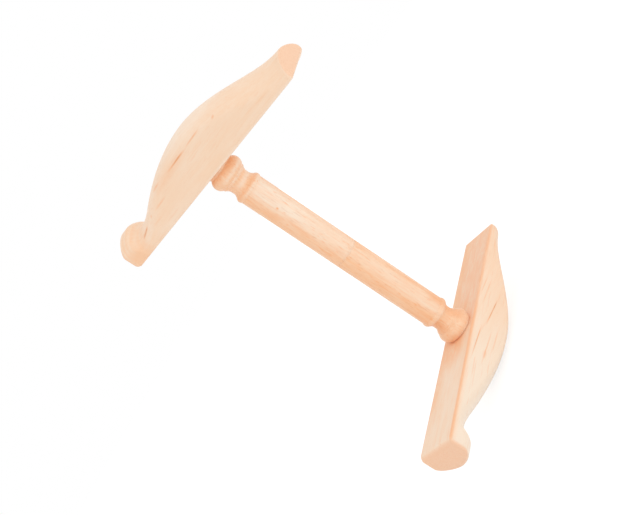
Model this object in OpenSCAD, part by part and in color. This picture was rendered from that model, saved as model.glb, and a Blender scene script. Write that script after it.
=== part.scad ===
// Niddy noddy: a hand reel for winding yarn into skeins.
// Two cross arms stand a quarter turn apart at the ends of a turned shaft that comes apart in two halves.
// Millimetres, +Z up along the shaft, origin on the shaft axis at the joint between the two halves.

/* [Arms] */
// length of a cross arm from knob end to tip end
arm_length = 275; // [250:1:300]
// thickness of a cross arm between its flat sides
arm_thickness = 41; // [38:0.5:48]
// distance of the shaft axis from the middle of the arm, towards the tip
seat_offset = 3; // [0:0.2:8]
// height of the arm at its crown, measured from the flat inner face
crown_height = 46; // [42:0.5:52]
// distance of the crown from the middle of the arm, towards the tip
crown_offset = 14.5; // [0:0.5:24]
// depth of the rounding across the crown
crown_round = 10; // [6:0.5:14]
// power of the rounding's curve: 2 is an ellipse, less is more pointed
round_power = 1.7; // [1.5:0.05:2]
// softening radius of the two long inner edges
edge_soft = 1.8; // [0.8:0.1:2.5]
// softening radius of the two side edges of each end face
end_soft = 1.5; // [0.5:0.1:2.5]

/* [Knob and neck] */
// height of the knob that keeps the skein on
knob_height = 30; // [27:0.5:34]
// length of the knob's top, from the knob end to where it starts to drop
knob_length = 15; // [11:0.5:18]
// radius of the knob's outer end corner
knob_corner = 6; // [4:0.5:8]
// radius of the rolled edge between the knob's end and the flat inner face
knob_roll = 5.5; // [3:0.5:7]
// depth of the rounding across the knob
knob_round = 16.5; // [10:0.5:18]
// distance of the neck from the knob end
neck_from_end = 26; // [24:0.5:36]
// height left at the neck
neck_height = 20; // [17:0.5:24]
// depth of the rounding across the neck
neck_round = 17; // [12:0.5:20]
// distance from the knob end to the foot of the long rise to the crown
rise_from_end = 55; // [46:1:62]
// part of the climb from neck to crown that is done at the foot of the rise
rise_share = 0.24; // [0.18:0.01:0.34]
// slope of the outer side at the foot of the rise
rise_slope = 0.37; // [0.2:0.01:0.5]

/* [Tip] */
// height of the plain tip at its end face
tip_height = 20; // [17:0.5:24]
// depth of the rounding across the tip
tip_round = 16.5; // [12:0.5:20]
// radius of the tip's outer end corner
tip_corner = 1.5; // [0.8:0.1:3]
// radius of the rolled edge between the tip's end and the flat inner face
tip_roll = 2; // [1:0.1:4]
// height worked away from one inner corner of the upper arm's tip
upper_tip_cut = 4; // [0:0.5:5]
// length of the tip over which that corner is worked away
tip_cut_length = 14; // [8:1:20]
// distance from the tip end to the turn of the long fall from the crown
fall_from_end = 54.5; // [46:0.5:64]
// part of the fall from crown to tip that is still to come at the turn
fall_share = 0.47; // [0.38:0.01:0.56]
// slope of the outer side at the turn, falling towards the tip
fall_slope = 0.32; // [0.2:0.01:0.44]

/* [Shaft] */
// distance from the joint to the inner face of the upper arm
upper_reach = 134.8; // [120:0.2:150]
// distance from the joint to the inner face of the lower arm
lower_reach = 127.4; // [120:0.2:150]
// diameter of the plain grip
grip_d = 28; // [27:0.1:28.5]
// softening of the grip's edge at the joint
joint_ease = 0.4; // [0.2:0.1:1]

/* [Turning] */
// diameter over the wide bead next to the arm
bead_d = 33.8; // [33:0.2:36]
// distance from the arm to the middle of the wide bead
bead_at = 9.5; // [8.8:0.1:10]
// radius of the wide bead's round
bead_r = 8; // [7.4:0.1:8.4]
// diameter of the collar between the bead and the arm
collar_d = 27; // [25:0.2:29]
// diameter at the narrowest place of the cove
cove_d = 22.2; // [21:0.2:24]
// distance from the arm to the narrowest place of the cove
cove_at = 23.2; // [22.8:0.1:23.6]
// radius of the cove's hollow
cove_r = 8.3; // [7.6:0.1:8.6]
// diameter of the land between the cove and the rim
land_d = 27.8; // [27.4:0.1:28.4]
// diameter over the rim at the head of the grip
rim_d = 29.8; // [29.4:0.1:31]
// distance from the arm to the rim
rim_at = 32; // [31.6:0.1:32.6]
// radius of the rim's round
rim_r = 3.6; // [3:0.1:4]
// how much closer to its arm the lower half's turning sits
lower_set = 3.2; // [0:0.1:3.6]

/* [Joinery] */
// diameter of the tenon glued into the arm
tenon_d = 18; // [14:0.5:20]
// length of the tenon
tenon_length = 22; // [18:1:28]
// diameter of the dowel that joins the two shaft halves
dowel_d = 12; // [10:0.5:14]
// length of that dowel
dowel_length = 60; // [50:1:80]
// bevel at the dowel's two ends
dowel_ease = 1; // [0.5:0.1:1.5]
// radial clearance of each round fit
fit_gap = 0.05; // [0.02:0.01:0.08]
// free depth past the end of a tenon or dowel
end_gap = 1; // [0.5:0.1:2]

/* [Hidden] */
$fn = 96;
knob_end = -arm_length / 2;
tip_end = arm_length / 2;
knob_top = knob_end + knob_length;
neck_at = knob_end + neck_from_end;
rise_at = knob_end + rise_from_end;
fall_at = tip_end - fall_from_end;
rise_height = neck_height + rise_share * (crown_height - neck_height);
fall_height = tip_height + fall_share * (crown_height - tip_height);
round_most = 0.85;
round_steps = 24;
corner_steps = 4;
knob_steps = 9;
tip_steps = 5;
cut_over = 1;
arm_colour = [0.93, 0.80, 0.66];
shaft_colour = [0.90, 0.72, 0.55];
dowel_colour = [0.82, 0.66, 0.48];

// cubic through (a, ha) and (b, hb) with end slopes ma and mb
function bend(s, a, ha, ma, b, hb, mb) =
    let (x = (s - a) / (b - a), d = b - a)
    ha * (2 * x * x * x - 3 * x * x + 1) + ma * d * (x * x * x - 2 * x * x + x)
    + hb * (3 * x * x - 2 * x * x * x) + mb * d * (x * x * x - x * x);

// height of the outer side along the arm, before the end corners
function outer_height(s) =
    s <= knob_top ? knob_height
    : s <= neck_at ? bend(s, knob_top, knob_height, 0, neck_at, neck_height, 0)
    : s <= rise_at ? bend(s, neck_at, neck_height, 0, rise_at, rise_height, rise_slope)
    : s <= crown_offset ? bend(s, rise_at, rise_height, rise_slope, crown_offset, crown_height, 0)
    : s <= fall_at ? bend(s, crown_offset, crown_height, 0, fall_at, fall_height, -fall_slope)
    : bend(s, fall_at, fall_height, -fall_slope, tip_end, tip_height, 0);

// depth of the rounding across the outer side along the arm
function outer_round(s) =
    s <= knob_top ? knob_round
    : s <= neck_at ? bend(s, knob_top, knob_round, 0, neck_at, neck_round, 0)
    : s <= crown_offset ? bend(s, neck_at, neck_round, 0, crown_offset, crown_round, 0)
    : bend(s, crown_offset, crown_round, 0, tip_end, tip_round, 0);

// how far a quarter round of radius r draws a side in, at distance x from the end face
function turn(x, r) =
    let (d = r - min(x, r))
    r - sqrt(r * r - d * d);

// a point of the rounding of width 2 and depth 1, at angle a across the arm
function round_point(a) =
    let (c = cos(a), e = 2 / round_power)
    [sign(c) * pow(abs(c), e), pow(max(sin(a), 0), e)];

// points of the two softened inner edges, seen along the arm
function inner_edges(w, r) = concat(
    [for (i = [0 : corner_steps]) let (a = 90 * i / corner_steps) [-w + r - r * cos(a), r - r * sin(a)]],
    [for (i = [0 : corner_steps]) let (a = 90 * i / corner_steps) [w - r + r * sin(a), r - r * cos(a)]]);

// section of the arm at s as [across, height] points, drawn in round the two end faces;
// cut is the height worked away from one inner corner at the tip
function section(s, cut) =
    let (
        k = s - knob_end,
        t = tip_end - s,
        top = outer_height(s),
        depth = min(outer_round(s), round_most * top),
        side = top - depth,
        crown = depth - turn(k, knob_corner) - turn(t, tip_corner),
        w = arm_thickness / 2,
        draw = turn(k, end_soft) + turn(t, end_soft),
        foot = turn(k, knob_roll) + turn(t, tip_roll),
        worn = cut * pow(max(1 - t / tip_cut_length, 0), 2),
        h = side + crown,
        outer = [for (i = [0 : round_steps])
            let (p = round_point(180 * i / round_steps)) [w * p[0], side + crown * p[1]]]
    )
    [for (p = concat(outer, inner_edges(w, edge_soft)))
        let (low = foot + worn * (1 + p[0] / w) / 2)
        [p[0] * (1 - draw / w), low + p[1] * (1 - low / h)]];

// evenly spaced places from a to b, without b
function places(a, b, n) = [for (i = [0 : n - 1]) a + (b - a) * i / n];

// places of the sections, from the knob's end face to the tip's, close together in the end corners
knob_turn = max(knob_corner, knob_roll, end_soft);
tip_turn = max(tip_corner, tip_roll, end_soft);
stations = concat(
    [for (i = [0 : knob_steps - 1]) knob_end + knob_turn * (1 - cos(90 * i / knob_steps))],
    places(knob_end + knob_turn, knob_top, 3),
    places(knob_top, neck_at, 8),
    places(neck_at, rise_at, 7),
    places(rise_at, crown_offset, 12),
    places(crown_offset, fall_at, 9),
    places(fall_at, tip_end - tip_turn, 8),
    [for (i = [tip_steps : -1 : 0]) tip_end - tip_turn * (1 - cos(90 * i / tip_steps))]);

// solid skinned over a row of equal-length rings of points
module skin(rings) {
    n = len(rings[0]);
    m = len(rings);
    sides = [for (i = [0 : m - 2], j = [0 : n - 1])
        let (k = (j + 1) % n, a = i * n, b = (i + 1) * n)
        each [[a + j, b + j, b + k], [a + j, b + k, a + k]]];
    first = [for (j = [0 : n - 1]) j];
    last = [for (j = [n - 1 : -1 : 0]) (m - 1) * n + j];
    all_points = [for (ring = rings) each ring];
    polyhedron(points = all_points, faces = concat([first], sides, [last]), convexity = 6);
}

// one arm with its inner face on z = 0 and the shaft's seat at the origin, knob to -X, tip to +X
module arm(cut) {
    difference() {
        skin([for (s = stations) [for (q = section(s, cut)) [s - seat_offset, q[0], q[1]]]]);
        translate([0, 0, -cut_over])
            cylinder(r = tenon_d / 2 + fit_gap, h = tenon_length + end_gap + cut_over);
    }
}

// a ring of round section about Z
module ring(middle_d, r) {
    rotate_extrude() translate([middle_d / 2, 0]) circle(r = r);
}

// one shaft half with its joint face on z = 0, the arm's face at reach and the tenon beyond it;
// the turning is shifted by set towards the arm
module shaft_half(reach, set) {
    rim_z = reach - rim_at + set;
    cove_z = reach - cove_at + set;
    bead_z = reach - bead_at + set;
    difference() {
        union() {
            cylinder(r1 = grip_d / 2 - joint_ease, r2 = grip_d / 2, h = joint_ease);
            translate([0, 0, joint_ease]) cylinder(d = grip_d, h = rim_z - joint_ease);
            translate([0, 0, rim_z]) ring(rim_d - 2 * rim_r, rim_r);
            difference() {
                translate([0, 0, rim_z]) cylinder(d = land_d, h = bead_z - rim_z);
                translate([0, 0, cove_z]) ring(cove_d + 2 * cove_r, cove_r);
            }
            intersection() {
                translate([0, 0, bead_z]) ring(bead_d - 2 * bead_r, bead_r);
                cylinder(d = bead_d + 2 * cut_over, h = reach);
            }
            translate([0, 0, bead_z]) cylinder(d = collar_d, h = reach - bead_z);
            translate([0, 0, bead_z]) cylinder(d = tenon_d, h = reach - bead_z + tenon_length);
        }
        translate([0, 0, -cut_over])
            cylinder(r = dowel_d / 2 + fit_gap, h = dowel_length / 2 + end_gap + cut_over);
    }
}

// the lower half hangs the other way up, a quarter turn round from the upper half
module lower_side() {
    rotate(a = 180, v = [1, 1, 0]) children();
}

module upper_arm() {
    color(arm_colour) translate([0, 0, upper_reach]) arm(upper_tip_cut);
}

module lower_arm() {
    color(arm_colour) lower_side() translate([0, 0, lower_reach]) arm(0);
}

module upper_shaft() {
    color(shaft_colour) shaft_half(upper_reach, 0);
}

module lower_shaft() {
    color(shaft_colour) lower_side() shaft_half(lower_reach, lower_set);
}

module centre_dowel() {
    r = dowel_d / 2;
    color(dowel_colour) translate([0, 0, -dowel_length / 2]) union() {
        cylinder(r1 = r - dowel_ease, r2 = r, h = dowel_ease);
        translate([0, 0, dowel_ease]) cylinder(r = r, h = dowel_length - 2 * dowel_ease);
        translate([0, 0, dowel_length - dowel_ease]) cylinder(r1 = r, r2 = r - dowel_ease, h = dowel_ease);
    }
}

upper_arm();
lower_arm();
upper_shaft();
lower_shaft();
centre_dowel();
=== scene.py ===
import itertools
import math

import bmesh
import bpy
from mathutils import Euler, Matrix, Vector

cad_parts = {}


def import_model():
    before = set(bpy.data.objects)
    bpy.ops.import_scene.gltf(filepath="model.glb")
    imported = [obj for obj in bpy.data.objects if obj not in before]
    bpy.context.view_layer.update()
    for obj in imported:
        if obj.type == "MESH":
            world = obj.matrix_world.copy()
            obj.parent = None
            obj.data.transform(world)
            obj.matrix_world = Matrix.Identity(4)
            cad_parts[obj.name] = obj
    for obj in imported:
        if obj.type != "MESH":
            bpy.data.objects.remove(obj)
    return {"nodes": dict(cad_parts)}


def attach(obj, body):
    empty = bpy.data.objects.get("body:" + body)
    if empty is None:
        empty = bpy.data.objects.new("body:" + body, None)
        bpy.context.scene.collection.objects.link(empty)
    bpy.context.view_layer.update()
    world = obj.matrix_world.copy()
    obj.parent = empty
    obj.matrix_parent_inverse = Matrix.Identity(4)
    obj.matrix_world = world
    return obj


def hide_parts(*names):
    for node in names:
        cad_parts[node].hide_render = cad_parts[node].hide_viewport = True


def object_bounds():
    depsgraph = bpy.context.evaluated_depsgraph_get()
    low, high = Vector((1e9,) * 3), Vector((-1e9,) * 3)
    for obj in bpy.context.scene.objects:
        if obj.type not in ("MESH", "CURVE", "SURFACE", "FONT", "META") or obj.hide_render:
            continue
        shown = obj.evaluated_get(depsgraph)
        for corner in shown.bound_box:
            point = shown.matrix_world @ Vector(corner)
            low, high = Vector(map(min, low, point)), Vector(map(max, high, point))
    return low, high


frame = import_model()
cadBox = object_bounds()
print("frame loaded:", ", ".join(sorted(frame["nodes"])))


# one socket of a node tree: sums and products of wires add Math nodes
class Wire:
    def __init__(self, bench, socket):
        self.bench = bench
        self.socket = socket

    def maths(self, operation, *others):
        return self.bench.put("ShaderNodeMath", {"operation": operation}, dict(enumerate((self, *others))))

    def after(self, operation, first):
        return self.bench.put("ShaderNodeMath", {"operation": operation}, {0: first, 1: self})

    def __add__(self, other):
        return self.maths("ADD", other)

    def __radd__(self, other):
        return self.after("ADD", other)

    def __sub__(self, other):
        return self.maths("SUBTRACT", other)

    def __rsub__(self, other):
        return self.after("SUBTRACT", other)

    def __mul__(self, other):
        return self.maths("MULTIPLY", other)

    def __rmul__(self, other):
        return self.after("MULTIPLY", other)

    def __truediv__(self, other):
        return self.maths("DIVIDE", other)

    def __rtruediv__(self, other):
        return self.after("DIVIDE", other)

    def __pow__(self, other):
        return self.maths("POWER", other)

    def most(self, other):
        return self.maths("MAXIMUM", other)

    def least(self, other):
        return self.maths("MINIMUM", other)

    # 0 at low, 1 at high, straight between and held outside
    def share(self, low, high):
        return self.bench.put("ShaderNodeMapRange", {}, {"Value": self, "From Min": low, "From Max": high})

    # the same with an eased start and end; with low above high it falls
    def fade(self, low, high):
        return self.bench.put("ShaderNodeMapRange", {"interpolation_type": "SMOOTHSTEP"},
                              {"Value": self, "From Min": low, "From Max": high})

    # another output of the node that this wire comes from
    def beside(self, name):
        return Wire(self.bench, self.socket.node.outputs[name])


class Bench:
    def __init__(self, tree):
        self.tree = tree

    def put(self, kind, settings=None, sockets=None, out=0):
        node = self.tree.nodes.new(kind)
        for name, value in (settings or {}).items():
            setattr(node, name, value)
        for name, value in (sockets or {}).items():
            if isinstance(value, Wire):
                self.tree.links.new(value.socket, node.inputs[name])
            else:
                node.inputs[name].default_value = value
        return Wire(self, node.outputs[out]) if len(node.outputs) else node

    def vector(self, x, y, z):
        return self.put("ShaderNodeCombineXYZ", {}, {0: x, 1: y, 2: z})

    def noise(self, vector, detail):
        return self.put("ShaderNodeTexNoise", {}, {"Vector": vector, "Scale": 1.0, "Detail": detail})

    def attribute(self, name):
        return self.put("ShaderNodeAttribute", {"attribute_name": name}, {}, "Fac")

    def blendColour(self, factor, low, high):
        return self.put("ShaderNodeMix", {"data_type": "RGBA"}, {0: factor, 6: low, 7: high}, out=2)


mergeDistance = 1e-6


# a named-input tree whose result becomes a plain mesh on a new object
def startTree(name, sizes):
    tree = bpy.data.node_groups.new(name, "GeometryNodeTree")
    for label, value in sizes.items():
        socket = tree.interface.new_socket(label, in_out="INPUT", socket_type="NodeSocketFloat")
        socket.default_value = value
    tree.interface.new_socket("finish", in_out="INPUT", socket_type="NodeSocketMaterial")
    tree.interface.new_socket("Geometry", in_out="OUTPUT", socket_type="NodeSocketGeometry")
    bench = Bench(tree)
    source = tree.nodes.new("NodeGroupInput")
    inputs = {label: Wire(bench, source.outputs[label]) for label in (*sizes, "finish")}
    return tree, bench, inputs


# a unit grid, with the running number of its ring and column at each point
def startGrid(bench, rings, columns):
    grid = bench.put("GeometryNodeMeshGrid", {}, {"Size X": 1.0, "Size Y": 1.0,
                                                  "Vertices X": rings + 1, "Vertices Y": columns + 1})
    place = bench.put("ShaderNodeSeparateXYZ", {}, {0: bench.put("GeometryNodeInputPosition")})
    return grid, (place + 0.5) * rings, (place.beside("Y") + 0.5) * columns


# the grid's points get their attributes first and their places last
def endTree(bench, mesh, attributes, spot, finish):
    for label, value in attributes.items():
        mesh = bench.put("GeometryNodeStoreNamedAttribute", {"data_type": "FLOAT", "domain": "POINT"},
                         {"Geometry": mesh, "Name": label, "Value": value})
    mesh = bench.put("GeometryNodeSetPosition", {}, {"Geometry": mesh, "Position": spot})
    mesh = bench.put("GeometryNodeMergeByDistance", {}, {"Geometry": mesh, "Distance": mergeDistance})
    mesh = bench.put("GeometryNodeSetShadeSmooth", {}, {"Geometry": mesh})
    mesh = bench.put("GeometryNodeRealizeInstances", {}, {"Geometry": mesh})
    mesh = bench.put("GeometryNodeSetMaterial", {}, {"Geometry": mesh, "Material": finish})
    bench.put("NodeGroupOutput", {}, {"Geometry": mesh})


def makePiece(name, tree, values, material, turn):
    piece = bpy.data.objects.new(name, bpy.data.meshes.new(name))
    bpy.context.scene.collection.objects.link(piece)
    rule = piece.modifiers.new("rule", "NODES")
    rule.node_group = tree
    wanted = dict(values, finish=material)
    for item in tree.interface.items_tree:
        if item.in_out == "INPUT" and item.name in wanted:
            rule[item.identifier] = wanted[item.name]
    graph = bpy.context.evaluated_depsgraph_get()
    mesh = bpy.data.meshes.new_from_object(piece.evaluated_get(graph), preserve_all_data_layers=True,
                                           depsgraph=graph)
    piece.modifiers.remove(rule)
    mesh.transform(turn)
    work = bmesh.new()
    work.from_mesh(mesh)
    bmesh.ops.remove_doubles(work, verts=work.verts, dist=mergeDistance)
    bmesh.ops.recalc_face_normals(work, faces=work.faces)
    work.to_mesh(mesh)
    work.free()
    piece.data = mesh
    mesh.name = name
    print(name, len(mesh.vertices), "points", len(mesh.polygons), "faces")
    return piece


# where the halves differ: joint to arm, how much closer the turning sits, corner cut off the tip
halfSizes = {
    "upper": {"reach": 0.1348, "set": 0.0, "tipCut": 0.004},
    "lower": {"reach": 0.1274, "set": 0.0032, "tipCut": 0.0},
}

# cross arm: a D-shaped section whose height and rounding change from knob to tip
armSizes = {
    "armLength": 0.275,
    "thickness": 0.041,
    "seatOffset": 0.003,
    "crownHeight": 0.046,
    "crownOffset": 0.0145,
    "crownRound": 0.010,
    "roundPower": 1.7,
    "roundMost": 0.85,
    "edgeSoft": 0.0018,
    "endSoft": 0.0015,
    "knobHeight": 0.030,
    "knobLength": 0.015,
    "knobCorner": 0.006,
    "knobRoll": 0.0055,
    "knobRound": 0.0165,
    "neckFromEnd": 0.026,
    "neckHeight": 0.020,
    "neckRound": 0.017,
    "riseFromEnd": 0.055,
    "riseShare": 0.24,
    "riseSlope": 0.37,
    "tipHeight": 0.020,
    "tipRound": 0.0165,
    "tipCorner": 0.0015,
    "tipRoll": 0.002,
    "tipCut": halfSizes["upper"]["tipCut"],
    "tipCutLength": 0.014,
    "fallFromEnd": 0.0545,
    "fallShare": 0.47,
    "fallSlope": 0.32,
    "reach": halfSizes["upper"]["reach"],
}
armRings = {"cap": 8, "knob": 18, "body": 222, "tip": 8}
armColumns = {"outer": 56, "side": 6, "corner": 4, "inner": 22}
endGrainFrom = 0.3


def before(station, limit, low, high):
    return high + (low - high) * station.maths("LESS_THAN", limit)


# cubic between two stations, with a height and a slope at each
def bend(station, start, startHeight, startSlope, stop, stopHeight, stopSlope):
    reach = stop - start
    x = (station - start) / reach
    rise = stopHeight - startHeight
    leave = startSlope * reach
    arrive = stopSlope * reach
    square = 3 * rise - 2 * leave - arrive
    cube = leave + arrive - 2 * rise
    return startHeight + x * (leave + x * (square + x * cube))


# smooth curve through stops of (station, height, slope), level before the first
def through(station, stops):
    runs = list(zip(stops, stops[1:]))
    curve = bend(station, *runs[-1][0], *runs[-1][1])
    for start, stop in reversed(runs[:-1]):
        curve = before(station, stop[0], bend(station, *start, *stop), curve)
    return before(station, stops[0][0], stops[0][1], curve)


# how far a quarter round draws a side in, at a distance from the end face
def roundOff(away, radius):
    left = radius - away.least(radius)
    return radius - (radius * radius - left * left).most(0).maths("SQRT")


# height of the outer side over the inner face, and how deep its rounding goes
def armHeights(size, station, knobEnd, tipEnd):
    knobTop = knobEnd + size["knobLength"]
    neck = knobEnd + size["neckFromEnd"]
    rise = knobEnd + size["riseFromEnd"]
    fall = tipEnd - size["fallFromEnd"]
    crown = size["crownOffset"]
    riseHeight = size["neckHeight"] + size["riseShare"] * (size["crownHeight"] - size["neckHeight"])
    fallHeight = size["tipHeight"] + size["fallShare"] * (size["crownHeight"] - size["tipHeight"])
    top = through(station, [
        (knobTop, size["knobHeight"], 0),
        (neck, size["neckHeight"], 0),
        (rise, riseHeight, size["riseSlope"]),
        (crown, size["crownHeight"], 0),
        (fall, fallHeight, size["fallSlope"] * -1),
        (tipEnd, size["tipHeight"], 0),
    ])
    depth = through(station, [
        (knobTop, size["knobRound"], 0),
        (neck, size["neckRound"], 0),
        (crown, size["crownRound"], 0),
        (tipEnd, size["tipRound"], 0),
    ])
    return top, depth.least(size["roundMost"] * top)


def armLoft():
    tree, bench, size = startTree("armLoft", armSizes)
    cap, knob, body, tip = (armRings[k] for k in ("cap", "knob", "body", "tip"))
    outer, side, corner, inner = (armColumns[k] for k in ("outer", "side", "corner", "inner"))
    rings = 2 * cap + knob + body + tip
    columns = outer + 2 * side + 2 * corner + inner
    grid, ring, column = startGrid(bench, rings, columns)

    # along the arm: end face, knob's corners, body, tip's corners, end face
    quarter = math.pi / 2
    knobCap = ring.share(0, cap)
    tipCap = ring.share(rings, rings - cap)
    knobTurn = ring.share(cap, cap + knob)
    tipTurn = ring.share(rings - cap, rings - cap - tip)
    along = ring.share(cap + knob, cap + knob + body)
    knobEnd = size["armLength"] * -0.5
    tipEnd = size["armLength"] * 0.5
    station = (knobEnd + size["knobCorner"] * (1 - (knobTurn * quarter).maths("COSINE"))
               + (size["armLength"] - size["knobCorner"] - size["tipRoll"]) * along
               + size["tipRoll"] * (tipTurn * quarter).maths("COSINE"))
    fromKnob = station - knobEnd
    fromTip = tipEnd - station
    drawn = roundOff(fromKnob, size["endSoft"]) + roundOff(fromTip, size["endSoft"])
    foot = roundOff(fromKnob, size["knobRoll"]) + roundOff(fromTip, size["tipRoll"])
    shrink = knobCap * tipCap

    top, depth = armHeights(size, station, knobEnd, tipEnd)
    shoulder = top - depth
    dome = depth - roundOff(fromKnob, size["knobCorner"]) - roundOff(fromTip, size["tipCorner"])

    # round the section: outer rounding, side, soft edge, inner face, soft edge, side
    half = size["thickness"] * 0.5
    edge = size["edgeSoft"]
    angle = column.share(0, outer) * math.pi
    power = 2 / size["roundPower"]
    cosine = angle.maths("COSINE")
    stops = list(itertools.accumulate((outer, side, corner, inner, corner, side)))
    goDown, turnIn, cross, turnOut, goUp = (column.share(*run) for run in zip(stops, stops[1:]))
    across = (half * cosine.maths("SIGN") * cosine.maths("ABSOLUTE") ** power
              + edge * (1 - (turnIn * quarter).maths("COSINE")) + 2 * (half - edge) * cross
              + edge * (turnOut * quarter).maths("SINE"))
    height = (shoulder + dome * angle.maths("SINE").most(0) ** power + (shoulder - edge) * (goUp - goDown)
              - edge * (turnIn * quarter).maths("SINE") + edge * (1 - (turnOut * quarter).maths("COSINE")))
    full = shoulder + dome
    middle = (foot + full) * 0.5
    # one inner corner of the tip is worked away
    worn = size["tipCut"] * (1 - fromTip / size["tipCutLength"]).most(0) ** 2
    foot = foot + worn * (0.5 + across / half * 0.5)
    across = across * (1 - drawn / half) * shrink
    height = foot + height * (1 - foot / full)
    height = middle + (height - middle) * shrink

    # corners of the ends that get rubbed, and where the end grain shows
    rub = (knobTurn * (1 - knobTurn) * 4).most(tipTurn * (1 - tipTurn) * 4)
    ends = (knobTurn * quarter).maths("COSINE").most((tipTurn * quarter).maths("COSINE"))
    spot = bench.vector(station - size["seatOffset"], across, height + size["reach"])
    endTree(bench, grid, {"edgeRub": rub, "endGrain": ends.fade(endGrainFrom, 1.0)}, spot, size["finish"])
    return tree


# shaft half: bored joint face, plain grip, then rim, cove, bead and collar up to the arm
shaftSizes = {
    "reach": halfSizes["upper"]["reach"],
    "set": halfSizes["upper"]["set"],
    "gripRadius": 0.014,
    "jointEase": 0.00006,
    "boreRadius": 0.00605,
    "boreDepth": 0.031,
    "rimAt": 0.032,
    "rimRadius": 0.0149,
    "rimRound": 0.0036,
    "landRadius": 0.0139,
    "coveAt": 0.0232,
    "coveRadius": 0.0111,
    "coveRound": 0.0083,
    "beadAt": 0.0095,
    "beadRadius": 0.0169,
    "beadRound": 0.008,
    "collarRadius": 0.0135,
    "sunk": 0.0004,
}
shaftRings = {"floor": 4, "wall": 8, "face": 4, "ease": 2, "grip": 40, "turned": 190, "cap": 4}
shaftColumns = 96


def shaftTurning():
    tree, bench, size = startTree("shaftTurning", shaftSizes)
    grid, ring, column = startGrid(bench, sum(shaftRings.values()), shaftColumns)
    angle = column * (2 * math.pi / shaftColumns)
    done = {}
    first = 0
    for label, count in shaftRings.items():
        done[label] = ring.share(first, first + count)
        first += count
    reach = size["reach"] + size["set"]
    turnedFrom = reach - size["rimAt"] - size["rimRound"]
    z = (size["boreDepth"] * (1 - done["wall"]) + size["jointEase"] * done["ease"]
         + (turnedFrom - size["jointEase"]) * done["grip"]
         + (size["reach"] + size["sunk"] - turnedFrom) * done["turned"])

    # height of a round of this radius over its own centre line
    def arch(at, radius):
        away = z - (reach - at)
        return (radius * radius - away * away).most(0).maths("SQRT")

    hollow = size["coveRadius"] + size["coveRound"] - arch(size["coveAt"], size["coveRound"])
    rim = size["rimRadius"] - size["rimRound"] + arch(size["rimAt"], size["rimRound"])
    bead = size["beadRadius"] - size["beadRound"] + arch(size["beadAt"], size["beadRound"])
    profile = before(z, reach - size["rimAt"], size["gripRadius"], size["landRadius"].least(hollow))
    profile = before(z, reach - size["beadAt"], profile, size["collarRadius"])
    profile = profile.most(rim).most(bead)
    bored = (size["boreRadius"] * done["floor"]
             + (size["gripRadius"] - size["jointEase"] - size["boreRadius"]) * done["face"]
             + size["jointEase"] * done["ease"])
    started = done["grip"].maths("GREATER_THAN", 0)
    radius = (bored * (1 - started) + profile * started) * (1 - done["cap"])
    spot = bench.vector(radius * angle.maths("COSINE"), radius * angle.maths("SINE"), z)
    endTree(bench, grid, {"jointFace": 1 - done["ease"]}, spot, size["finish"])
    return tree


# pale bare wood, shared by every piece
woodTones = {
    # a pale tone used only for painted highlights
    "highlightTone": (0.985, 0.850, 0.710, 1),
    "pale": (0.935, 0.780, 0.625, 1),
    "cream": (0.950, 0.740, 0.567, 1),
    "honey": (0.945, 0.640, 0.425, 1),
    "blush": (0.940, 0.545, 0.330, 1),
    "amber": (0.950, 0.530, 0.285, 1),
    "orange": (0.920, 0.420, 0.185, 1),
    "rust": (0.560, 0.200, 0.065, 1),
    "endGrain": (0.900, 0.570, 0.380, 1),
}
# noise per metre with the grain and across it, its detail, and the values between which it fades in
woodFigures = {
    "fibre": (60, 800, 2.0, (0.35, 0.70)),
    "streak": (16, 230, 2.0, (0.35, 0.65)),
    "pore": (130, 1300, 1.0, (0.62, 0.74)),
    "cloud": (11, 24, 2.0, (0.30, 0.72)),
    "speckle": (500, 900, 2.0, (0.35, 0.70)),
    "dashes": (32, 520, 1.0, (0.64, 0.76)),
    "fleck": (150, 950, 1.0, (0.62, 0.74)),
    "mottle": (45, 330, 2.0, (0.42, 0.70)),
}
# slow drift of the grain, and how the late wood darkens through one growth layer
growth = {"driftAlong": 7, "driftAcross": 16, "darkens": (0.35, 0.9), "ends": (1.0, 0.9),
          "lifeAlong": 14, "lifeLayers": 0.8, "life": (0.35, 0.75)}
bareFinish = {"bumpDistance": 0.0004, "specular": 0.5, "sheen": 0.12, "sheenRoughness": 0.4}


def startWood(name):
    material = bpy.data.materials.new(name)
    material.use_nodes = True
    material.node_tree.nodes.clear()
    bench = Bench(material.node_tree)
    place = bench.put("ShaderNodeSeparateXYZ", {}, {0: bench.put("ShaderNodeTexCoord", {}, {}, "Object")})
    return material, bench, place, place.beside("Y"), place.beside("Z")


def figure(kind, bench, along, across, up):
    lengthwise, crosswise, detail, cut = woodFigures[kind]
    place = bench.vector(along * lengthwise, across * crosswise, up * crosswise)
    return bench.noise(place, detail).fade(*cut)


# growth layers about a pith line, long fibres and pores; along runs with the grain
def grainOf(bench, along, across, up, look):
    sway = growth["driftAcross"]
    drift = bench.noise(bench.vector(along * growth["driftAlong"], across * sway, up * sway), 2.0) - 0.5
    offAcross = across - look["pithAcross"]
    offUp = up - look["pithUp"] - along * look["runOut"]
    fromPith = (offAcross ** 2 + offUp ** 2).maths("SQRT")
    layers = (fromPith + drift * look["drift"]) / look["layer"]
    step = layers.maths("FRACT")
    line = step.fade(*growth["darkens"]) * step.fade(*growth["ends"])
    life = bench.noise(bench.vector(along * growth["lifeAlong"], layers * growth["lifeLayers"], 0), 1.0)
    grain = {"drift": drift, "line": line * life.fade(*growth["life"])}
    for kind in ("fibre", "streak", "pore", "cloud"):
        grain[kind] = figure(kind, bench, along, across, up)
    return grain


# tones laid over one another, each by its own share
def layTones(bench, first, layers):
    colour = woodTones[first]
    for share, tone in layers:
        colour = bench.blendColour(share, colour, woodTones[tone])
    return colour


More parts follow.
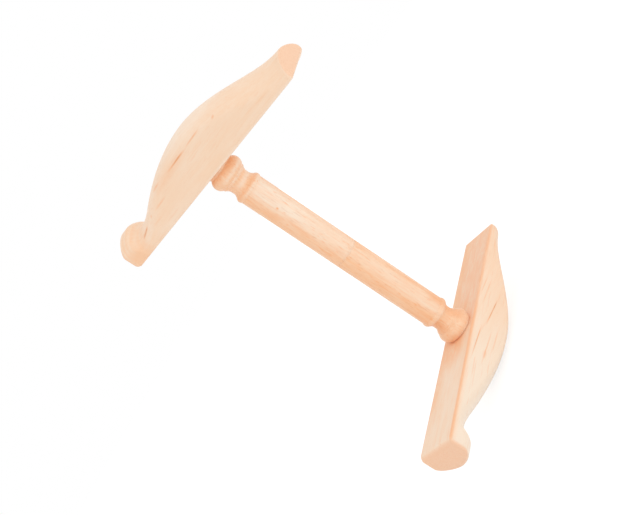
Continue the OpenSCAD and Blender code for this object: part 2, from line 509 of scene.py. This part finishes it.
def endWood(material, bench, colour, rough, height, strength):
    bump = bench.put("ShaderNodeBump", {}, {
        "Strength": strength, "Distance": bareFinish["bumpDistance"], "Height": height})
    shader = bench.put("ShaderNodeBsdfPrincipled", {}, {
        "Base Color": colour, "Roughness": rough, "Normal": bump,
        "Specular IOR Level": bareFinish["specular"],
        "Sheen Weight": bareFinish["sheen"], "Sheen Roughness": bareFinish["sheenRoughness"]})
    bench.put("ShaderNodeOutputMaterial", {}, {"Surface": shader})
    return material


# streaks: two ends as (along, up), half width, depth; a dark core lies inside some of them
armLooks = {
    "upper": {
        "pithAcross": -0.075, "pithUp": 0.012, "runOut": 0.05, "drift": 0.006, "layer": 0.0042,
        "tilt": 0.02, "nearSide": -1, "edgeLine": 0.0, "edgeHighlight": 0.4, "dashes": 0.16,
        "streaks": {
            "crownLine": ((-0.017, 0.0323), (0.011, 0.0332), 0.0014, 0.95),
            "crownGlow": ((-0.055, 0.0300), (0.016, 0.0325), 0.0065, 0.22),
            "crownLineEnd": ((0.017, 0.0334), (0.039, 0.0341), 0.0012, 0.65),
            "crownLineStart": ((-0.053, 0.0319), (-0.038, 0.0330), 0.0014, 0.7),
            "sideStreak": ((-0.064, 0.0212), (-0.044, 0.0218), 0.0013, 0.45),
            "crownDot": ((0.0560, 0.0304), (0.0595, 0.0309), 0.0017, 0.6),
            "neckDot": ((-0.0783, 0.0202), (-0.0747, 0.0208), 0.0015, 0.6),
            "neckStreak": ((-0.1085, 0.0130), (-0.0925, 0.0172), 0.0017, 1.0),
        },
        "darkCores": {
            "crownCore": ((-0.010, 0.0325), (0.008, 0.0331), 0.0007, 0.4),
            "neckCore": ((-0.1070, 0.0134), (-0.0940, 0.0168), 0.0009, 0.6),
        },
    },
    "lower": {
        "pithAcross": 0.110, "pithUp": 0.030, "runOut": 0.10, "drift": 0.005, "layer": 0.0034,
        "tilt": 0.17, "nearSide": 1, "edgeLine": 0.65, "edgeHighlight": 0.0, "dashes": 0.28,
        "streaks": {
            "darkLine": ((0.038, 0.0215), (0.004, 0.0147), 0.0011, 0.9),
            "joining": ((0.012, 0.0158), (-0.012, 0.0089), 0.0011, 0.22),
            "lowStreak": ((-0.002, 0.0101), (-0.042, 0.0057), 0.0010, 0.85),
            "highStreak": ((0.061, 0.0073), (0.035, 0.0033), 0.0010, 0.5),
            "outerStreak": ((-0.003, 0.0212), (-0.030, 0.0187), 0.0011, 0.45),
            "rimStreak": ((0.004, 0.0279), (-0.024, 0.0254), 0.0012, 0.4),
            "knot": ((-0.0372, 0.0178), (-0.0274, 0.0186), 0.0030, 0.42),
            "knotTail": ((-0.022, 0.0190), (-0.044, 0.0171), 0.0010, 0.4),
            "knobStreak": ((-0.046, 0.0110), (-0.076, 0.0118), 0.0012, 0.22),
            "tipStreak": ((0.062, 0.0123), (0.024, 0.0069), 0.0011, 0.4),
        },
        "darkCores": {
            "darkLineCore": ((0.037, 0.0213), (0.012, 0.0163), 0.0007, 0.55),
            "lowStreakCore": ((-0.010, 0.0092), (-0.034, 0.0065), 0.0006, 0.25),
        },
    },
}
# parts of an arm's surface: each measure with the places where the zone starts and is full
armZones = {
    "innerFace": [("up", 0.0030, 0.0004)],
    "nearSide": [("near", 0.002, 0.006)],
    "outerRound": [("width", 0.0202, 0.013), ("up", 0.004, 0.008)],
    "edges": [("width", 0.0172, 0.0199)],
    "tipHalf": [("along", -0.01, 0.06)],
    "beyondSeat": [("along", -0.03, 0.01)],
    "knob": [("along", -0.098, -0.125)],
    "knobArcs": [("along", -0.101, -0.110)],
    "knobHigh": [("up", 0.008, 0.020)],
    "seatShadowRing": [("fromAxis", 0.0200, 0.0135)],
    "seatShadowLine": [("fromAxis", 0.0165, 0.0135)],
    "seatShadowSide": [("along", -0.009, -0.0145)],
    "tanSide": [("along", 0.015, -0.025), ("along", -0.085, -0.060), ("up", 0.004, 0.014)],
    "crownSheen": [("along", -0.03, 0.02), ("up", 0.034, 0.041)],
    "warmTip": [("along", 0.03, 0.10)],
    "paleKnobSide": [("along", 0.07, -0.08), ("up", 0.001, 0.007)],
    "knobRoundHighlight": [("along", 0.03, -0.06)],
    "rosyFace": [("along", -0.04, 0.03)],
    "rosyTip": [("along", 0.06, 0.12)],
    "farEdge": [("across", -0.004, -0.017), ("along", -0.125, -0.07)],
    "besideSeat": [("along", -0.056, -0.026), ("along", 0.042, 0.024), ("across", 0.018, 0.0)],
}
# growth layers that the shaping of a knob cuts through, round one place of its side
knobSwirl = {"along": -0.1005, "up": 0.0150, "drift": 0.014, "layer": 0.0056, "clear": (0.003, 0.007),
             "darkens": (0.0, 0.7), "ends": (1.0, 0.7)}
# how a streak tapers, wavers and breaks up
streakRule = {"taperIn": (-0.15, 0.35), "taperOut": (1.15, 0.65), "waver": 0.003, "fullWaver": 0.03,
              "breaks": (70, 300, 40), "breaksFrom": (0.3, 0.6), "breaksDepth": 0.35}


# a soft thin streak between two places of the (along, up) plane
def streakAt(along, up, streak, waver):
    (startAlong, startUp), (stopAlong, stopUp), width, depth = streak
    goesAlong = stopAlong - startAlong
    goesUp = stopUp - startUp
    length = math.hypot(goesAlong, goesUp)
    fromStart = along - startAlong
    overStart = up - startUp
    run = (fromStart * goesAlong + overStart * goesUp) / length ** 2
    off = (overStart * goesAlong - fromStart * goesUp) / length
    off = off + waver * min(1, length / streakRule["fullWaver"])
    taper = run.fade(*streakRule["taperIn"]) * run.fade(*streakRule["taperOut"])
    return off.maths("ABSOLUTE").fade(width, 0) * taper * depth


def upperArmTones(zone, grain, along, up):
    offAlong = along - knobSwirl["along"]
    offUp = up - knobSwirl["up"]
    swirl = (offAlong ** 2 + offUp ** 2).maths("SQRT") + grain["drift"] * knobSwirl["drift"]
    step = (swirl / knobSwirl["layer"]).maths("FRACT")
    arcs = step.fade(*knobSwirl["darkens"]) * step.fade(*knobSwirl["ends"])
    arcs = arcs * swirl.fade(*knobSwirl["clear"])
    return [
        (zone("tanSide") * zone("nearSide") * (1 - zone("outerRound")) * 0.4, "honey"),
        # painted sheen on the outer rounding at the crown
        (zone("outerRound") * zone("crownSheen") * 0.4, "highlightTone"),
        (zone("knobArcs") * (0.06 + arcs * (0.12 + grain["cloud"] * 0.5)), "amber"),
        (zone("knob") * (0.62 - zone("knobHigh") * 0.58), "amber"),
    ]


def lowerArmTones(zone, grain):
    inner = zone("innerFace")
    besideSeat = zone("besideSeat") * 0.95
    return [
        (zone("warmTip") * (1 - inner) * 0.5, "honey"),
        (zone("paleKnobSide") * 0.9, "pale"),
        # painted highlight on the outer rounding towards the knob, against the floor's shade
        (zone("outerRound") * zone("knobRoundHighlight") * 0.75, "highlightTone"),
        (inner * zone("rosyFace") * (0.80 + grain["streak"] * 0.20), "blush"),
        (inner * zone("rosyTip") * 0.45, "blush"),
        # redder along the far edge and beside the seat
        (inner * (zone("farEdge") * 0.75).most(besideSeat), "amber"),
        (inner * besideSeat * 0.15, "orange"),
        (inner * grain["fibre"] * (1 - grain["streak"]) * 0.45, "pale"),
    ]


def armWood(which):
    look = armLooks[which]
    reach = halfSizes[which]["reach"]
    material, bench, x, y, z = startWood(which + "ArmWood")
    if which == "upper":
        along, across, up = x, y, z - reach
    else:
        along, across, up = y, x, 0 - z - reach
    measures = {
        "along": along, "across": across, "up": up, "near": across * look["nearSide"],
        "width": across.maths("ABSOLUTE"), "fromAxis": (along ** 2 + across ** 2).maths("SQRT"),
    }

    def zone(name):
        share = 1
        for measure, start, full in armZones[name]:
            share = measures[measure].fade(start, full) * share
        return share

    grain = grainOf(bench, along, across, up - along * look["tilt"], look)
    ends = bench.attribute("endGrain")
    rub = bench.attribute("edgeRub")
    speckle = figure("speckle", bench, along, across, up)
    dashes = figure("dashes", bench, along, across, up)
    layers = [
        (0.1 + grain["cloud"] * 0.3 + grain["streak"] * 0.2 + grain["fibre"] * 0.2, "honey"),
        (grain["line"] * 0.55, "honey"),
    ]
    if which == "upper":
        layers += upperArmTones(zone, grain, along, up)
    else:
        layers += lowerArmTones(zone, grain)

    waver = grain["drift"] * streakRule["waver"]
    lengthwise, upwards, crosswise = streakRule["breaks"]
    breaks = bench.noise(bench.vector(along * lengthwise, up * upwards, across * crosswise), 1.0)
    breaks = breaks.fade(*streakRule["breaksFrom"]) * streakRule["breaksDepth"]
    seen = (breaks + (1 - streakRule["breaksDepth"])) * zone("nearSide")
    for kind, tone in (("streaks", "orange"), ("darkCores", "rust")):
        for streak in look[kind].values():
            layers.append((streakAt(along, up, streak, waver) * seen, tone))

    # painted contact shadow round the shaft's seat, heaviest on the knob side; darker along the inner
    # face's edges; a painted highlight on the edges beyond the seat
    inner = zone("innerFace")
    edge = inner * zone("edges")
    knobSide = zone("seatShadowSide")
    layers += [
        (grain["pore"] * 0.12 + dashes * look["dashes"], "orange"),
        # painted contact shadow round the seat
        (zone("seatShadowRing") * inner * (0.05 + knobSide * 0.35), "orange"),
        (zone("seatShadowLine") * inner * knobSide * 0.2, "rust"),
        (rub * 0.25, "pale"),
        (edge * look["edgeLine"] * (1 - zone("tipHalf") * 0.75), "orange"),
        # painted highlight on the rounded edge past the seat
        (edge * look["edgeHighlight"] * zone("beyondSeat"), "highlightTone"),
        (ends * (0.7 + speckle * 0.3), "endGrain"),
        (ends * zone("knob") * 0.4, "blush"),
    ]
    colour = layTones(bench, "cream", layers)
    rough = 0.46 + grain["fibre"] * 0.10 + ends * 0.12
    height = grain["fibre"] * 0.3 - grain["pore"] * 0.5 + grain["line"] * 0.15 - ends * speckle * 0.5
    return endWood(material, bench, colour, rough, height, 0.2)


# bands of the turning: distance from the arm, half width, depth, tone; the light bands are painted
# highlights, the shade bands painted shade
# sides of the turning with painted shade: direction round the axis, distance from the arm, half length,
# depth, tone
# single flecks: direction round the axis, distance from the arm, depth
shaftLooks = {
    "upper": {
        "pithAcross": 0.004, "pithUp": -0.022, "runOut": 0.03, "drift": 0.004, "layer": 0.0030,
        "rosy": 0.35, "highlightTowards": -0.46, "highlightStrength": 1.0, "highlightFrom": 0.50, "paleTurning": 0.3,
        "bands": {
            # painted light at the foot of the bead, against the shade where it meets the arm
            "shoulder": (0.0022, 0.0022, 0.45, "pale"),
            "beadShade": (0.0050, 0.0036, 0.22, "orange"),
            "beadHighlight": (0.0113, 0.0034, 0.55, "pale"),
            "filletHighlight": (0.0168, 0.0026, 0.50, "pale"),
            "coveHighlight": (0.0235, 0.0042, 0.62, "pale"),
            "rimShade": (0.0293, 0.0026, 0.25, "orange"),
            "rimHighlight": (0.0322, 0.0022, 0.35, "pale"),
        },
        "shadedSides": {
            "beadSide": (0.0, 0.0050, 0.0060, 0.28, "orange"),
        },
        "flecks": {
            "nearRim": (-0.92, 0.0603, 0.9),
            "underRim": (-1.44, 0.0758, 0.5),
            "middle": (-1.53, 0.0998, 0.4),
            "nearJoint": (-1.54, 0.1223, 0.4),
        },
    },
    "lower": {
        "pithAcross": -0.006, "pithUp": 0.024, "runOut": -0.02, "drift": 0.004, "layer": 0.0027,
        "rosy": 0.40, "highlightTowards": -0.50, "highlightStrength": 0.66, "highlightFrom": 0.78, "paleTurning": 0.8,
        "bands": {
            # painted light at the foot of the bead, against the shade where it meets the arm
            "shoulder": (0.0042, 0.0034, 0.75, "pale"),
            "coveShade": (0.0232, 0.0060, 0.10, "orange"),
            # painted highlight on the rim's edge
            "rimEdgeHighlight": (0.0302, 0.0024, 0.32, "highlightTone"),
        },
        "shadedSides": {
            "broadSide": (0.15, 0.0285, 0.0260, 0.52, "orange"),
            "knobSide": (-1.75, 0.0240, 0.0300, 0.22, "orange"),
            "knobSideCove": (-1.75, 0.0230, 0.0085, 0.50, "orange"),
            "knobSideCoveCore": (-1.75, 0.0240, 0.0070, 0.10, "rust"),
        },
        "flecks": {
            "nearJoint": (-0.99, 0.1176, 0.45),
            "middle": (-1.11, 0.0546, 0.6),
            "nearRim": (-1.34, 0.0346, 0.75),
        },
    },
}
shaftRule = {
    "turnedEnd": (0.036, 0.032),  # distances from the arm
    "highlightStart": (0.028, 0.038),
    "highlightWeakens": (0.06, 0.13),
    "litFrom": 0.3,  # cosines at which a side starts
    "sideShadeFrom": 0.78,
    "fleckFrom": 0.9963,
    "fleckLength": 0.0020,
    "bandWaver": 0.001,
    "sideShadeWaver": 0.004,
    "leastRadius": 0.001,
}


def shaftWood(which):
    look = shaftLooks[which]
    half = halfSizes[which]
    material, bench, x, y, z = startWood(which + "ShaftWood")
    grain = grainOf(bench, z, x, y, look)
    face = bench.attribute("jointFace")
    fleck = figure("fleck", bench, z, x, y)
    mottle = figure("mottle", bench, z, x, y)
    radius = (x * x + y * y).maths("SQRT").most(shaftRule["leastRadius"])
    fromArm = half["reach"] - z.maths("ABSOLUTE") + half["set"]

    # 1 on the side that looks towards a direction, from a cosine on
    def facing(towards, start):
        return ((x * math.cos(towards) + y * math.sin(towards)) / radius).fade(start, 1.0)

    def awayFrom(at, waver):
        return (fromArm - at + grain["drift"] * waver).maths("ABSOLUTE")

    # painted highlight along the one side that faces the light, broken up by the grain's streaks
    highlightSide = facing(look["highlightTowards"], look["highlightFrom"])
    highlightShare = 0.7 + grain["streak"] * 0.3 - fromArm.fade(*shaftRule["highlightWeakens"]) * 0.3
    highlightShare = highlightShare * look["highlightStrength"] * fromArm.fade(*shaftRule["highlightStart"])
    turned = fromArm.fade(*shaftRule["turnedEnd"])
    rosy = look["rosy"] + grain["cloud"] * 0.35 + grain["line"] * 0.35
    layers = [
        (rosy * (1 - turned * look["paleTurning"]), "amber"),
        (highlightSide * highlightShare, "pale"),
        ((grain["fibre"] * 0.28 + mottle * 0.30) * (1 - highlightSide * 0.5), "orange"),
        ((1 - grain["streak"]) * (1 - grain["fibre"]) * 0.25, "cream"),
        (turned * grain["line"] * 0.22, "orange"),
    ]
    # pale bands are painted highlights, kept to the side facing the light
    lit = facing(look["highlightTowards"], shaftRule["litFrom"])
    for at, spread, depth, tone in look["bands"].values():
        band = awayFrom(at, shaftRule["bandWaver"]).fade(spread, 0) * depth
        layers.append((band * lit if tone == "pale" else band, tone))
    # painted shade on given sides of the turning
    for towards, at, spread, depth, tone in look["shadedSides"].values():
        sideShade = awayFrom(at, shaftRule["sideShadeWaver"]).fade(spread, spread * 0.5) * depth
        layers.append((facing(towards, shaftRule["sideShadeFrom"]) * sideShade, tone))
    for towards, at, depth in look["flecks"].values():
        spot = awayFrom(at, 0).fade(shaftRule["fleckLength"], 0) * depth
        layers.append((facing(towards, shaftRule["fleckFrom"]) * spot, "orange"))
    layers += [
        (fleck * 0.55, "orange"),
        (grain["pore"] * 0.2, "rust"),
        (face * 0.5, "endGrain"),
    ]
    colour = layTones(bench, "honey", layers)
    rough = 0.38 + grain["fibre"] * 0.10
    height = grain["fibre"] * 0.3 - grain["pore"] * 0.5 - fleck * 0.25
    return endWood(material, bench, colour, rough, height, 0.2)


dowelLook = {"pithAcross": 0.02, "pithUp": 0.004, "runOut": 0.01, "drift": 0.002, "layer": 0.0018}


def dowelWood():
    material, bench, x, y, z = startWood("dowelWood")
    grain = grainOf(bench, z, x, y, dowelLook)
    colour = layTones(bench, "honey", [
        (grain["streak"] * 0.35, "cream"),
        (grain["line"] * 0.5, "endGrain"),
        (grain["pore"] * 0.25, "rust"),
    ])
    rough = 0.5 + grain["fibre"] * 0.1
    height = grain["fibre"] * 0.4 - grain["pore"]
    return endWood(material, bench, colour, rough, height, 0.3)


# the lower half hangs the other way up, a quarter turn round from the upper half
turns = {
    "upper": Matrix.Identity(4),
    "lower": Matrix(((0, 1, 0, 0), (1, 0, 0, 0), (0, 0, -1, 0), (0, 0, 0, 1))),
}
armTree = armLoft()
shaftTree = shaftTurning()
pieces = [
    ("upperArm", "upper", armTree, armWood, "upper_half", "upper_arm", "arm_wood"),
    ("lowerArm", "lower", armTree, armWood, "lower_half", "lower_arm", "arm_wood"),
    ("upperShaft", "upper", shaftTree, shaftWood, "upper_half", "upper_shaft", "shaft_wood"),
    ("lowerShaft", "lower", shaftTree, shaftWood, "lower_half", "lower_shaft", "shaft_wood"),
]
for name, which, tree, wood, body, node, slot in pieces:
    piece = makePiece(name, tree, halfSizes[which], wood(which), turns[which])
    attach(piece, body)
    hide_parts(node)
dowel = frame["nodes"]["centre_dowel"]
dowel.data.materials.clear()
dowel.data.materials.append(dowelWood())
print("pieces made")

# studio: white round floor under the lower arm's crown, one broad key, pale surroundings
studio = {
    "white": (1, 1, 1, 1),
    "floorRadius": 1.6,
    "floorSegments": 96,
    "floorLevel": cadBox[0].z,
    "floorColour": (0.93, 0.93, 0.93, 1),
    "shadowNear": 0.25,
    "shadowFar": 0.7,
    "shadowDepth": 0.4,
    "floorGlow": 1.25,
    "skyFront": (1.0, -1.0, 0.0),
    "skyBright": 1.07,
    "skyDim": 0.78,
    "skySeen": 1.0,
    "keyFrom": (2.00, -0.05, 0.25),
    "keySize": 1.5,
    "keyPower": 4.5,
}


# 1 for what the camera sees, also in a reflection or through a clear piece
def cameraRays(bench):
    path = bench.put("ShaderNodeLightPath", {}, {}, "Is Camera Ray")
    return path.most(path.beside("Is Glossy Ray")).most(path.beside("Is Transmission Ray"))


# matt floor that takes a faint shadow near the object and is white further out
def buildFloor():
    work = bmesh.new()
    bmesh.ops.create_circle(work, cap_ends=True, segments=studio["floorSegments"],
                            radius=studio["floorRadius"])
    mesh = bpy.data.meshes.new("floor")
    work.to_mesh(mesh)
    work.free()
    floor = bpy.data.objects.new("floor", mesh)
    floor.location.z = studio["floorLevel"]
    bpy.context.scene.collection.objects.link(floor)
    material = bpy.data.materials.new("whiteFloor")
    material.use_nodes = True
    material.node_tree.nodes.clear()
    bench = Bench(material.node_tree)
    place = bench.put("ShaderNodeTexCoord", {}, {}, "Object")
    away = bench.put("ShaderNodeVectorMath", {"operation": "LENGTH"}, {0: place}, "Value")
    shade = away.fade(studio["shadowFar"], studio["shadowNear"]) * studio["shadowDepth"]
    matt = bench.put("ShaderNodeBsdfDiffuse", {}, {"Color": studio["floorColour"]})
    glow = bench.put("ShaderNodeEmission", {}, {"Color": studio["white"], "Strength": studio["floorGlow"]})
    both = bench.put("ShaderNodeMixShader", {}, {0: cameraRays(bench) * (1 - shade), 1: matt, 2: glow})
    bench.put("ShaderNodeOutputMaterial", {}, {"Surface": both})
    mesh.materials.append(material)


# white to the camera, brighter on one side for the light
def buildSky():
    world = bpy.data.worlds.new("paleRoom")
    world.use_nodes = True
    world.node_tree.nodes.clear()
    bench = Bench(world.node_tree)
    front = Vector(studio["skyFront"]).normalized()
    towards = bench.put("ShaderNodeVectorMath", {"operation": "DOT_PRODUCT"},
                        {0: bench.put("ShaderNodeTexCoord", {}, {}, "Generated"), 1: front}, "Value")
    dim, bright, seen = (
        bench.put("ShaderNodeBackground", {}, {"Color": studio["white"], "Strength": studio[strength]})
        for strength in ("skyDim", "skyBright", "skySeen"))
    sky = bench.put("ShaderNodeMixShader", {}, {0: towards.share(-1, 1), 1: dim, 2: bright})
    both = bench.put("ShaderNodeMixShader", {}, {0: cameraRays(bench), 1: sky, 2: seen})
    bench.put("ShaderNodeOutputWorld", {}, {"Surface": both})
    bpy.context.scene.world = world


def buildKey():
    lamp = bpy.data.lights.new("key", "AREA")
    lamp.shape = "DISK"
    lamp.size = studio["keySize"]
    lamp.energy = studio["keyPower"]
    key = bpy.data.objects.new("key", lamp)
    key.location = studio["keyFrom"]
    key.rotation_euler = (-Vector(studio["keyFrom"])).to_track_quat("-Z", "Y").to_euler()
    bpy.context.scene.collection.objects.link(key)


buildFloor()
buildSky()
buildKey()
print("studio built")

# camera at the photograph's viewing angle, from a perspective fit of the outlines
cameraFit = {
    "place": (0.60270, -0.68235, 0.22580),
    "turnDegrees": (67.887, 54.353, 24.362),
    "lens": 61.227,
    "sensorWidth": 36.0,
    "nearest": 0.05,
}
lensData = bpy.data.cameras.new("photoCamera")
lensData.lens = cameraFit["lens"]
lensData.sensor_width = cameraFit["sensorWidth"]
lensData.clip_start = cameraFit["nearest"]
camera = bpy.data.objects.new("photoCamera", lensData)
camera.location = cameraFit["place"]
camera.rotation_euler = Euler([math.radians(a) for a in cameraFit["turnDegrees"]])
bpy.context.scene.collection.objects.link(camera)
bpy.context.scene.camera = camera
bpy.context.scene.view_settings.view_transform = "Standard"
print("camera set")
